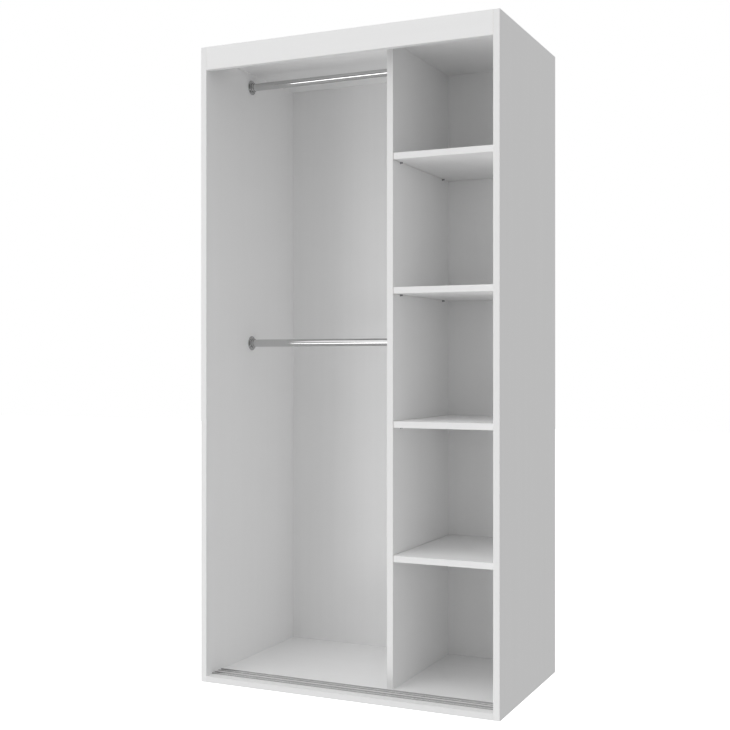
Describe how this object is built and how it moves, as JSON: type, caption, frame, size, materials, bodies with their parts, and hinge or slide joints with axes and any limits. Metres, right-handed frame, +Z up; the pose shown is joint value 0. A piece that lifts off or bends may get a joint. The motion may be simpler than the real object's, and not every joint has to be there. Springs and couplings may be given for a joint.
{
  "type": "wardrobe",
  "caption": "Tall open wardrobe carcass with a hanging bay with two rails, a column of shelves, and guide tracks across the front for sliding doors.",
  "frame": {"origin": "on the floor, at the middle of the footprint", "axes": "+Z up, -Y towards the open front, +X towards the shelf compartments"},
  "size_m": [1, 0.588, 2.03],
  "materials": {
    "white_board": "white melamine face with a faint grain on chipboard",
    "white_edging": "white plastic edge band",
    "hardboard": "white-lacquered face inside, bare brown hardboard outside",
    "chrome": "polished chrome plating",
    "aluminium": "satin anodised extrusion",
    "pin_steel": "nickel-plated pin",
    "zinc_steel": "bright zinc plating",
    "beech": "plain beech dowel"
  },
  "bodies": {
    "carcass": {"side_panel_left": "white_board", "side_panel_right": "white_board", "side_edge_left": "white_edging", "side_edge_right": "white_edging", "base_panel": "white_board", "base_edge": "white_edging", "top_panel": "white_board", "divider_panel": "white_board", "divider_edge": "white_edging", "fascia_panel": "white_board", "fascia_edge": "white_edging", "back_sheet_left": "hardboard", "back_sheet_right": "hardboard", "rail_flange_upper_left": "chrome", "rail_flange_upper_right": "chrome", "rail_flange_lower_left": "chrome", "rail_flange_lower_right": "chrome", "bottom_track_front": "aluminium", "bottom_track_rear": "aluminium", "top_track": "aluminium", "shelf_pins": "pin_steel", "flange_screws": "zinc_steel", "bottom_track_screws": "zinc_steel", "top_track_screws": "zinc_steel", "cam_discs": "zinc_steel", "cam_bolts": "zinc_steel", "dowels": "beech", "divider_screws": "zinc_steel", "back_nails": "zinc_steel"},
    "shelf_1": {"shelf_1": "white_board", "shelf_1_edge": "white_edging"},
    "shelf_2": {"shelf_2": "white_board", "shelf_2_edge": "white_edging"},
    "shelf_3": {"shelf_3": "white_board", "shelf_3_edge": "white_edging"},
    "shelf_4": {"shelf_4": "white_board", "shelf_4_edge": "white_edging"},
    "rail_upper": {"hanging_rail_upper": "chrome"},
    "rail_lower": {"hanging_rail_lower": "chrome"}
  },
  "joints": [
    {"name": "shelf_1_pull_out", "type": "slide", "parent": "carcass", "child": "shelf_1", "axis": [0, -1, 0], "range_m": [0, 0.6]},
    {"name": "shelf_2_pull_out", "type": "slide", "parent": "carcass", "child": "shelf_2", "axis": [0, -1, 0], "range_m": [0, 0.6]},
    {"name": "shelf_3_pull_out", "type": "slide", "parent": "carcass", "child": "shelf_3", "axis": [0, -1, 0], "range_m": [0, 0.6]},
    {"name": "shelf_4_pull_out", "type": "slide", "parent": "carcass", "child": "shelf_4", "axis": [0, -1, 0], "range_m": [0, 0.6]},
    {"name": "rail_upper_turn", "type": "hinge", "parent": "carcass", "child": "rail_upper", "pos_m": [-0.188, -0.007, 1.961], "axis": [1, 0, 0], "continuous": true},
    {"name": "rail_lower_turn", "type": "hinge", "parent": "carcass", "child": "rail_lower", "pos_m": [-0.188, -0.007, 1.088], "axis": [1, 0, 0], "continuous": true}
  ]
}
